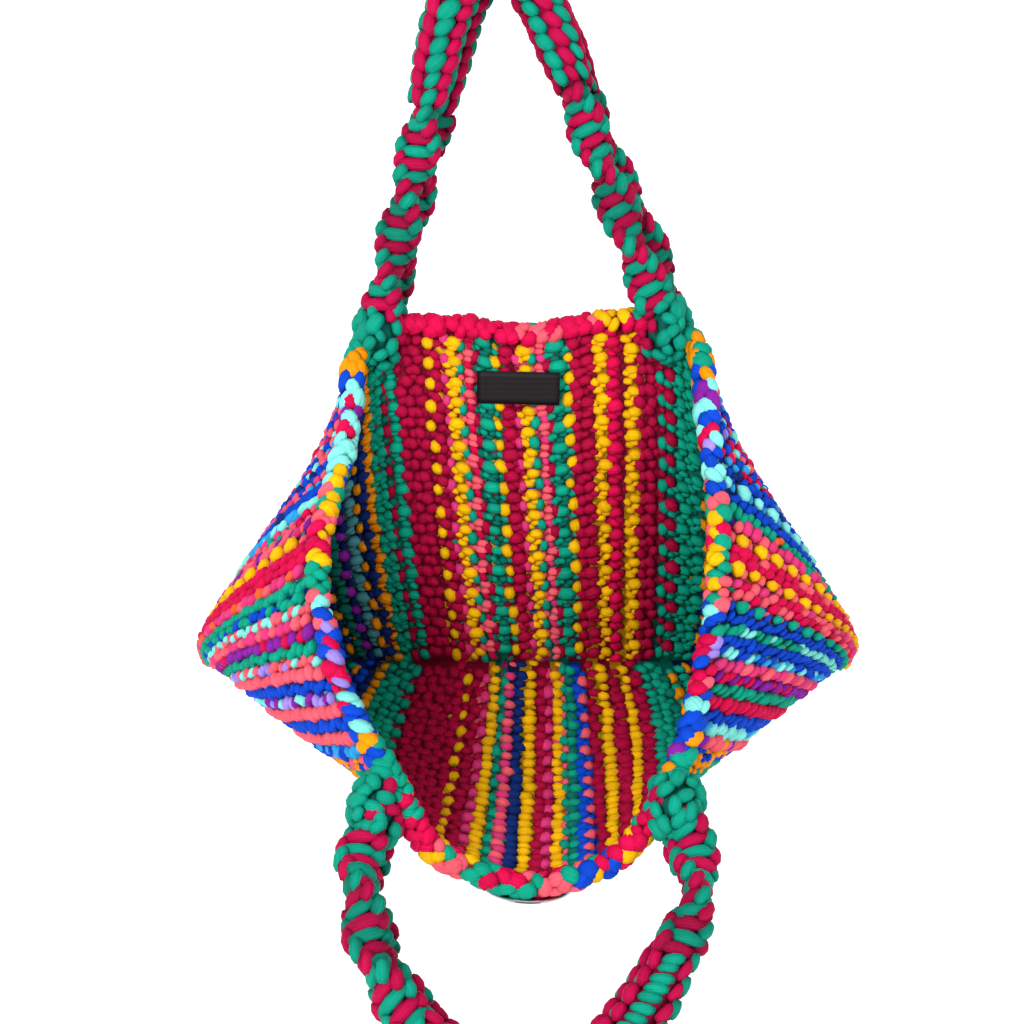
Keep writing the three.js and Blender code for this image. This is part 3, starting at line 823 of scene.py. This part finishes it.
def base_cloth(name, start, end, inside, outside):
    """The dense ground of the cloth, seen between the stitches, coloured as the columns over it and
    painted dark all over, painted shade between the stitches.
    """
    columns, rows = GROUND_FACES

    def place(u, v, side):
        """From just under the rim to the seam: the middle 1.8 mm of the cloth, which swell to
        6.6 mm over the last stretch before the seam."""
        along = start + GROUND_GAP + u * (end - start - 2 * GROUND_GAP)
        down = GROUND_TOP + v * (DEPTH - GROUND_TOP)
        swell = smooth((down - DEPTH + SEAM_BLEND) / SEAM_BLEND)
        out = GROUND_HEIGHTS[side] + (2 * side - 1) * GROUND_SWELL * swell
        return cloth.place(np.stack([along, down, out], axis=-1))

    points, quads = slab(columns, rows, place)
    middle = start + (np.arange(columns) + 0.5) / columns * (end - start)
    inner = np.repeat(colour_at(inside, middle), rows)
    outer = np.repeat(colour_at(outside, middle), rows)
    # The ground's edges take the darker copy of crimson: painted shade.
    edge = np.full(len(quads) - len(inner) - len(outer), YARN_NUMBER["wine"])
    knots = Knots()
    knots.shell(points, quads, np.concatenate([inner, outer, edge]))
    return knots.piece(name, yarn_materials)


def stitched_panel(name, start, end, inside, spacing, lean):
    """A panel: its ground, and its stitches as three pieces, to keep each below 200,000 triangles.
    spacing is the repeat of the inner stitches at the rim and at the seam."""
    turns = [(row[0] - turn * GIRTH, *row[1:]) for turn in (0, 1) for row in OUTSIDE]
    outside = sorted((row for row in turns if start < row[0] < end), key=lambda row: row[0])
    ground = base_cloth(name, start, end, inside, outside)
    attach(ground, "root")
    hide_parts(name)
    half = len(inside) // 2
    for part, rows, side in [
        ("inside_stitches_left", inside[:half], -1),
        ("inside_stitches_right", inside[half:], -1),
        ("outside_stitches", outside, 1),
    ]:
        knots = Knots()
        near, far = spacing if side < 0 else (REPEAT, REPEAT)
        lay_columns(knots, rows, side, near, far, lean if side < 0 else 0.0)
        layer = knots.piece(name + "_" + part, yarn_materials)
        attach(layer, "root")


# ==== the knotted edging round the mouth ====
# Colours of the knots round the rim, from the middle of the back, and how far each one reaches.
RIM_COLOURS = """
    5 coral, 88 crimson, 114 teal, 125 amber, 131 royal, 141 mint, 149 purple, 157 crimson,
    164 mint, 178 royal, 191 mint, 200 yellow, 209 teal, 214 coral, 224 yellow, 234 crimson,
    238 yellow, 244 coral, 259 teal, 268 coral, 280 mint, 292 royal, 300 lavender, 313 crimson,
    321 coral, 330 mint, 345 royal, 355 amber, 364 teal, 370 amber, 386 teal, 392 crimson, 399 teal,
    424 crimson, 435 yellow, 445 coral, 456 teal, 465 crimson, 474 yellow, 478 crimson, 486 coral,
    492 teal, 498 royal, 504 coral, 515 crimson, 525 yellow, 546 crimson, 551 teal, 555 crimson,
    572 teal, 581 amber, 588 royal, 593 amber, 600 royal, 606 purple, 614 mint, 622 royal,
    634 crimson, 641 coral, 646 lavender, 656 royal, 664 mint, 672 royal, 680 teal, 690 coral,
    697 teal, 704 yellow, 713 crimson, 721 yellow, 731 teal, 738 coral, 745 teal, 752 royal,
    760 mint, 766 royal, 771 lavender, 780 crimson, 788 royal, 795 mint, 801 purple, 816 royal,
    832 amber, 866 teal, 886 crimson, 899 yellow, 920 crimson, 925 coral, 929 crimson, 937 teal,
    940 coral
"""
# The spacing of the knots along the edging, the radius of its core, and the core's rings and sides.
RIM_PITCH = 8.2
RIM_CORE = 3.5
RIM_CORE_MESH = (188, 8)
# Rows of knots round the edging's section: the angle from its top, positive outwards, in degrees.
RIM_ROWS = (-112, -46, 20, 86)
# One knot: its slant in degrees, half length, bow, half width and half thickness.
RIM_SLANT, RIM_REACH, RIM_BOW, RIM_WIDE, RIM_THICK = 26, 4.1, 2.0, 3.4, 3.5
# How far along the rim a knot may take its colour from.
RIM_SHIFT = 13
# Spreads of the random changes of a knot: its place along, round and out in millimetres, its size,
# its slant in degrees, and its colour's place in millimetres. It stands RIM_RISE above the core.
RIM_SPREAD = (0.9, 0.5, 0.4)
RIM_SIZE_SPREAD, RIM_SLANT_SPREAD, RIM_COLOUR_SPREAD = 0.13, 20, 2.5
RIM_RISE = 0.3


def rim_yarn(places):
    """The colour number of the knot at each place round the rim."""
    reach, names = zip(*(entry.split() for entry in RIM_COLOURS.split(",")))
    numbers = np.array([YARN_NUMBER[name] for name in names])
    return numbers[np.searchsorted(np.array(reach, float), places % GIRTH)]


def rim_place(points):
    """From (along the rim, round its section, height above its core) to the bag: the section is a
    circle about the middle of the cloth's edge, and the way round it is an arc of radius
    RIM_CORE."""
    angle = points[..., 1] / RIM_CORE
    radius = RIM_CORE + points[..., 2]
    return cloth.place(np.stack([points[..., 0], -radius * np.cos(angle),
                                 CLOTH / 2 + radius * np.sin(angle)], axis=-1))


def rim_knots():
    """A core, and rows of plump knots along it, each row shifted by half a spacing against the
    next and slanted the other way."""
    knots = Knots()
    count, sides = RIM_CORE_MESH
    along = np.arange(count)[:, None] / count * GIRTH + np.zeros(sides)
    arc = circle(sides) * RIM_CORE + np.zeros((count, 1))
    tube = rim_place(np.stack([along, arc, 0 * along], axis=-1)).reshape(-1, 3)
    # The core is painted dark, painted shade where it shows between the knots.
    knots.shell(tube, tube_faces(count, sides, True), rim_yarn(np.repeat(along[:, 0], sides)))
    total = int(GIRTH / RIM_PITCH)
    for k, degrees in enumerate(RIM_ROWS):
        places = (np.arange(total) + 0.5 * (k % 2)) * GIRTH / total
        places = places + random.normal(0, RIM_SPREAD[0], total)
        arc = np.radians(degrees) * RIM_CORE + random.normal(0, RIM_SPREAD[1], total)
        centre = np.stack([places, arc, random.normal(RIM_RISE, RIM_SPREAD[2], total)], axis=1)
        size = random.normal(1.0, RIM_SIZE_SPREAD, total)
        slant = RIM_SLANT if k % 2 else -RIM_SLANT
        angle = np.radians(slant + random.normal(0, RIM_SLANT_SPREAD, total))
        arm = np.stack([np.cos(angle), np.sin(angle), 0 * angle], axis=1)
        arm = arm * (RIM_REACH * size)[:, None]
        local = lobe_points(centre - arm, centre + RIM_BOW * UP, centre + arm, RIM_WIDE * size,
                            RIM_THICK * size, UP, *RIM_MESH)
        shift = random.choice([-RIM_SHIFT, 0, 0, 0, RIM_SHIFT], total)
        shift = shift + random.normal(0, RIM_COLOUR_SPREAD, total)
        knots.add(rim_place(local), rim_yarn(places + shift), *RIM_MESH)
    made = knots.piece("rim_knots", yarn_materials)
    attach(made, "root")
    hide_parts("rim_edging")


# ==== ropes ====
# The ropes' and anchors' two colours: darker copies of crimson and teal, painted shade.
ROPE_SHADED_CRIMSON, ROPE_SHADED_TEAL = YARN_NUMBER["rope_shaded_crimson"], YARN_NUMBER["rope_shaded_teal"]
# The twisted part: how far its first level is from the rope's end, the length of a level, and its
# turn against the one before.
TWIST_START = 2.0
TWIST_PITCH = 7.2
TWIST_TURN = np.radians(26.5)
# The core: rings and sides, its radius under the twist, how much that grows under the grip and over
# what length, and the radius of its nearly closed ends.
CORE_MESH = (90, 8)
CORE_RADIUS, CORE_GROWTH, CORE_EASE, CORE_END = 5.6, 2.4, 12.0, 0.05
# The section of the grip where it begins, how much it grows, and over what length.
GRIP_START, GRIP_GROWTH, GRIP_EASE = 0.82, 0.18, 30.0
# The section of a rear rope against a front one, because only its edge shows beside it.
REAR = 0.86
# Spreads of the random changes of a lobe: its size, and its place in millimetres.
ROPE_SIZE_SPREAD, ROPE_SPREAD = 0.05, 0.3

# One level of the twisted part: a bar across the front and one across the back, and a lobe round
# each flank in the other colour. A lobe is its start, bend and end, each to the side, along the
# rope and outwards, its half width and half thickness, and which of the two colours it has.
TWIST_LEVEL = [
    ((-11.0, -2.0, 0.8), (0, 0, 8.4), (11.0, 2.0, 0.8), 3.9, 3.5, 0),
    ((11.0, -2.0, -0.8), (0, 0, -8.4), (-11.0, 2.0, -0.8), 3.9, 3.5, 1),
    ((8.0, -5.2, 2.6), (12.6, 0, 0.3), (8.0, 5.2, -2.6), 3.6, 3.7, 1),
    ((-8.0, -5.2, -2.6), (-12.6, 0, -0.3), (-8.0, 5.2, 2.6), 3.6, 3.7, 0),
]
# The flat grip: the length of a level, and its lobes in the same way.
GRIP_LEVEL = {
    "back_left": (10.7, [
        ((-3.4, -5.6, 4.6), (0.2, -0.6, 10.6), (3.8, 5.4, 4.6), 4.6, 3.9, 1),
        ((-5.0, -6.4, 5.0), (-10.6, -1.0, 7.4), (-9.6, 5.4, 2.0), 4.0, 3.7, 0),
        ((5.2, -4.4, 5.0), (10.0, 0.6, 7.2), (9.6, 5.8, 2.0), 3.6, 3.6, 0),
        ((-11.0, -5.0, 2.4), (-12.2, 0, 0.0), (-11.0, 5.0, -2.4), 2.9, 3.0, 1),
    ]),
    "back_right": (10.7, [
        ((10.0, -5.0, 2.0), (12.4, 0, 0.0), (10.0, 5.0, -2.4), 2.8, 3.0, 0),
        ((9.0, -5.4, 4.0), (7.0, 0, 9.8), (4.4, 5.4, 5.0), 4.5, 4.0, 1),
        ((1.6, -5.8, 5.4), (-1.4, -0.4, 10.4), (-4.6, 5.6, 5.2), 4.1, 3.8, 0),
        ((-5.2, -5.8, 4.8), (-9.2, 0.4, 8.2), (-9.8, 5.6, 2.6), 3.3, 3.5, 1),
        ((-10.6, -5.0, 2.0), (-12.6, 0, 0.0), (-11.0, 5.0, -2.6), 3.0, 3.0, 0),
    ]),
    "front": (11.2, [
        ((-4.8, -5.4, 4.0), (0.4, -3.4, 10.4), (5.0, -1.0, 4.0), 3.1, 3.7, 1),
        ((-4.8, 0.2, 4.0), (0.4, 2.2, 10.4), (5.0, 4.6, 4.0), 3.1, 3.7, 1),
        ((-7.0, -5.8, 3.6), (-11.6, -0.6, 6.2), (-9.4, 5.0, 1.6), 3.9, 3.9, 0),
        ((7.4, -5.0, 3.6), (11.2, 0.4, 5.2), (9.4, 5.6, 1.6), 3.1, 3.5, 0),
        ((-11.4, -5.0, 1.0), (-12.6, 0, -1.6), (-11.0, 5.0, -3.4), 3.0, 3.0, 1),
    ]),
}


def rope_lobes(knots, chart_of, levels, turns, rows, swap, size):
    """Lays the lobes `rows` at each level along the rope, turned about it by that level's angle.
    With `swap` the two colours change places from one level to the next. size scales the
    section."""
    parts = [np.array([row[k] for row in rows], float) for k in range(5)]
    choice = np.array([row[5] for row in rows])
    shape = lobe_points(*parts, UP, *ROPE_MESH)
    number = (len(levels), len(rows), 1, 1)
    middle = shape.mean(axis=1, keepdims=True)[None]
    local = (shape[None] - middle) * random.normal(1.0, ROPE_SIZE_SPREAD, number) + middle
    local = local + random.normal(0, ROPE_SPREAD, (len(levels), len(rows), 1, 3))
    cos, sin = np.cos(turns)[:, None, None], np.sin(turns)[:, None, None]
    side = (local[..., 0] * cos - local[..., 2] * sin) * size
    ahead = (local[..., 0] * sin + local[..., 2] * cos) * size
    along = local[..., 1] + levels[:, None, None]
    points = chart_of.place(np.stack([along, side, ahead], axis=-1))
    odd = (np.arange(len(levels)) * swap % 2)[:, None]
    yarns = np.where((choice[None] + odd) % 2 == 1, ROPE_SHADED_TEAL, ROPE_SHADED_CRIMSON)
    knots.add(points.reshape(-1, *points.shape[2:]), yarns.ravel(), *ROPE_MESH)


def rope_core(knots, chart_of, zones, size):
    """A round core under the lobes, from end to end of the rope, thicker under the flat grip."""
    count, sides = CORE_MESH
    along = np.linspace(0, chart_of.length, count)[:, None] + np.zeros(sides)
    angle = circle(sides) + np.zeros((count, 1))
    inward = np.minimum(along - zones[0], chart_of.length - zones[1] - along)
    radius = (CORE_RADIUS + CORE_GROWTH * smooth(inward / CORE_EASE)) * size
    radius[[0, -1]] = CORE_END
    tube = np.stack([along, radius * np.cos(angle), radius * np.sin(angle)], axis=-1)
    quads = tube_faces(count, sides, False)
    # The core is painted dark, painted shade where it shows between the lobes.
    knots.shell(chart_of.place(tube).reshape(-1, 3), quads, np.full(len(quads), ROPE_SHADED_CRIMSON))


def knotted_rope(name, left, right, zones, grips, size=1.0):
    """A rope of two colours: a twisted sinnet at both ends, whose bars turn by TWIST_TURN from one
    level to the next and start at the angles `left` and `right`, and a flat grip between them.
    zones holds the lengths of the twisted ends, and grips the sort of grip of each half."""
    chart_of = Rope(ROPES[name], (0, -1, 0) if "back_rope" in name else (0, -0.6, 0.8))
    knots = Knots()
    rope_core(knots, chart_of, zones, size)
    for zone, angle, way in [(zones[0], left, 1), (zones[1], right, -1)]:
        levels = np.arange(TWIST_START, zone, TWIST_PITCH)
        turns = way * (np.radians(angle) + np.arange(len(levels)) * TWIST_TURN)
        levels = levels if way > 0 else chart_of.length - levels
        rope_lobes(knots, chart_of, levels, turns, TWIST_LEVEL, True, size)
    first, middle, last = zones[0], chart_of.length / 2, chart_of.length - zones[1]
    for start, end, grip in [(first, middle, grips[0]), (middle, last, grips[1])]:
        pitch, rows = GRIP_LEVEL[grip]
        number = int(round((end - start) / pitch))
        levels = start + (np.arange(number) + 0.5) / number * (end - start)
        inward = np.minimum(levels - first, last - levels)
        taper = (GRIP_START + GRIP_GROWTH * smooth(inward / GRIP_EASE))[:, None, None] * size
        rope_lobes(knots, chart_of, levels, np.zeros(number), rows, False, taper)
        rope_lobes(knots, chart_of, levels + pitch / 2, np.full(number, np.pi), rows, False, taper)
    made = knots.piece(name, yarn_materials)
    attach(made, "root")
    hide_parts(name)


# ==== anchors ====
# The number of knots, the part of the anchor's half sizes at which their middles lie, and the size
# of the plain body under them against that, with its rings and sides.
ANCHOR_KNOTS = 46
ANCHOR_PART = np.array([0.8, 0.84, 0.84])
ANCHOR_FILL = 0.84
ANCHOR_MESH = (9, 12)
# One knot: its half length, bow, half width and half thickness, and its usual slants in degrees.
ANCHOR_REACH, ANCHOR_BOW, ANCHOR_WIDE, ANCHOR_THICK = 5.2, 3.6, 3.9, 3.6
ANCHOR_SLANTS = [-40, 50, 80]
# Which knots are crimson: those further inwards than this share of the half size.
CRIMSON_FROM = 0.75
# The depth of the knots' middles as a share of the ellipsoid, and its spread; and the spreads of
# their turn round it, their slant in degrees, their size, and that share for the crimson ones.
ANCHOR_DEPTH, DEPTH_SPREAD = 0.92, 0.03
AROUND_SPREAD, ANCHOR_SLANT_SPREAD, ANCHOR_SIZE_SPREAD, CRIMSON_SPREAD = 0.12, 18, 0.14, 0.2
# The knots' slants are taken from a line square to this one, which is nearly upright.
ANCHOR_POLE = np.array([0.05, 0.1, 1.0])


def anchor(name):
    """A cluster of plump knots round the crossing of handle and rim. Their middles lie evenly on an
    ellipsoid: the k-th is at the height 1 - (2k + 1) / n and turned on by the golden angle,
    pi (3 - root 5). Each knot lies along the surface, in a slant of its own."""
    inward = 1 if name.endswith("left") else -1
    centre, half = (np.array(x, float) for x in ANCHORS[name])
    centre = centre - APEX
    half = half * ANCHOR_PART
    knots = Knots()
    rings, sides = ANCHOR_MESH
    height = (np.arange(1, rings + 1) / (rings + 1) - 0.5)[:, None] * np.pi
    way = circle(sides)[None]
    ball = np.stack([np.cos(height) * np.cos(way), np.cos(height) * np.sin(way),
                     np.sin(height) + 0 * way], axis=-1)
    ball = np.concatenate([[[0, 0, -1.0]], ball.reshape(-1, 3), [[0, 0, 1.0]]])
    ball = centre + ball * half * ANCHOR_FILL
    knots.add(ball[None], np.array([YARN_NUMBER["pine"]]), rings, sides)
    k = np.arange(ANCHOR_KNOTS)
    rise = 1 - (2 * k + 1) / ANCHOR_KNOTS
    around = k * np.pi * (3 - np.sqrt(5)) + random.normal(0, AROUND_SPREAD, ANCHOR_KNOTS)
    reach = np.sqrt(1 - rise**2)
    spot = np.stack([reach * np.cos(around), reach * np.sin(around), rise], axis=1)
    outward = unit(spot / half)
    level = unit(np.cross(outward, ANCHOR_POLE))
    slant = random.choice(ANCHOR_SLANTS, ANCHOR_KNOTS)
    slant = np.radians(slant + random.normal(0, ANCHOR_SLANT_SPREAD, ANCHOR_KNOTS))
    along = level * np.cos(slant)[:, None] + np.cross(outward, level) * np.sin(slant)[:, None]
    size = random.normal(1.0, ANCHOR_SIZE_SPREAD, ANCHOR_KNOTS)
    arm = along * (ANCHOR_REACH * size)[:, None]
    deep = random.normal(ANCHOR_DEPTH, DEPTH_SPREAD, ANCHOR_KNOTS)[:, None]
    middle = centre + spot * half * deep
    points = lobe_points(middle - arm, middle + outward * ANCHOR_BOW, middle + arm,
                         ANCHOR_WIDE * size, ANCHOR_THICK * size, outward, *ROPE_MESH)
    inner = spot[:, 0] * inward + random.normal(0, CRIMSON_SPREAD, ANCHOR_KNOTS) > CRIMSON_FROM
    knots.add(points, np.where(inner, ROPE_SHADED_CRIMSON, ROPE_SHADED_TEAL), *ROPE_MESH)
    made = knots.piece(name, yarn_materials)
    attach(made, "root")
    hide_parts(name)


# ==== label and plate ====
# The label's size, the chart's numbers of its middle, on the tops of the stitches, and how far its
# upper edge turns down to the left, which levels the flat sheet on the sloping cloth.
LABEL_SIZE = (50.0, 20.0, 1.0)
LABEL_SPOT = np.array([5.0, 32.0, -1.6])
LABEL_TILT = 0.1


def label():
    """The woven label on the inner face, bare: a thin flat sheet through its middle on the chart,
    along the chords to places 20 mm to the left of it and 8 mm below it."""
    across, drop, thick = LABEL_SIZE
    beside, under = [20, 0, 0], [0, 8, 0]
    middle, beside, under = cloth.place(LABEL_SPOT + np.array([[0, 0, 0], beside, under]))
    left = unit(unit(beside - middle) + unit(under - middle) * LABEL_TILT)
    down = unit(under - middle)
    down = unit(down - left * (down @ left))

    def place(u, v, side):
        """The point at the shares u and v of the label's length and drop, on its back or face."""
        shift = ((0.5 - u) * across)[..., None] * left + ((v - 0.5) * drop)[..., None] * down
        return middle + shift + np.cross(left, down) * (side * thick)

    points, quads = slab(12, 6, place)
    knots = Knots()
    knots.shell(points, quads, np.zeros(len(quads), int))
    made = knots.piece("woven_label", [satin_label()])
    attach(made, "root")
    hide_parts("label")


def plate():
    """The round metal plate keeps its own CAD shape and place."""
    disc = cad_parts["metal_plate"]
    disc.data.materials.clear()
    disc.data.materials.append(polished_steel())


# ==== studio ====
def studio():
    """A pale cove far below and behind the bag, which ends in front, rises in a quarter circle of
    radius `bend` and ends high up; three soft lights in a white world; and the camera."""
    front, low, wall, high, bend, width = -3000.0, -1100.0, 2200.0, 2600.0, 700.0, 3500.0
    arc = np.linspace(0, np.pi / 2, 17)
    profile = np.vstack([
        [front, low],
        np.stack([wall - bend + bend * np.sin(arc), low + bend - bend * np.cos(arc)], axis=1),
        [wall, high],
    ])
    across = np.array([-width, width])
    points = np.stack([
        np.repeat(across, len(profile)), np.tile(profile[:, 0], 2), np.tile(profile[:, 1], 2),
    ], axis=1)
    j = np.arange(len(profile) - 1)
    quads = np.stack([j, j + len(profile), j + len(profile) + 1, j + 1], axis=1)
    cove = solid("studio_cove", points, quads, np.zeros((0, 3), int))
    cove.data.materials.append(painted_floor())

    world = bpy.data.worlds.new("soft_studio")
    bpy.context.scene.world = world
    world.use_nodes = True
    world.node_tree.nodes["Background"].inputs["Color"].default_value = (1, 1, 1, 1)
    world.node_tree.nodes["Background"].inputs["Strength"].default_value = 0.76
    # Each light: its place in metres, its turn in degrees, its size in metres, its power in watts.
    for name, place, turn, size, power in [
        ("key_light", (-0.9, -1.8, 0.35), (73, 0, -28), 0.8, 30.0),
        ("fill_light", (1.2, -1.6, 0.1), (82, 0, 37), 1.2, 10.0),
        ("backdrop_light", (0.0, 0.6, 1.5), (76, 0, 0), 2.4, 45.0),
    ]:
        lamp = bpy.data.lights.new(name, "AREA")
        lamp.size = size
        lamp.energy = power
        lamp_object = bpy.data.objects.new(name, lamp)
        lamp_object.location = place
        lamp_object.rotation_euler = np.radians(turn)
        bpy.context.scene.collection.objects.link(lamp_object)
    bpy.context.scene.view_settings.view_transform = "Standard"

    lens = bpy.data.cameras.new("camera")
    lens.lens = 67.4
    lens.sensor_width = 36.0
    camera = bpy.data.objects.new("camera", lens)
    camera.location = (0.004, -1.148, -0.114)
    camera.rotation_euler = (np.radians(80.0), 0, 0)
    bpy.context.scene.collection.objects.link(camera)
    bpy.context.scene.camera = camera


# ==== the bag ====
rim_knots()
stitched_panel("back_panel", FOLDS[1] - GIRTH, FOLDS[0], BACK_INSIDE, (12.6, 17.4), -0.059)
stitched_panel("front_panel", FOLDS[0], FOLDS[1], FRONT_INSIDE, (16.6, 18.4), 0.03)
knotted_rope("handle_back_rope_front", 25, -33, (122, 138), ("back_left", "back_right"))
knotted_rope("handle_back_rope_rear", 115, 57, (122, 138), ("back_left", "back_right"), REAR)
knotted_rope("handle_front_rope_front", -75, -75, (126, 84), ("front", "front"))
knotted_rope("handle_front_rope_rear", 5, 5, (104, 70), ("front", "front"), REAR)
for anchor_name in ANCHORS:
    anchor(anchor_name)
label()
plate()
studio()
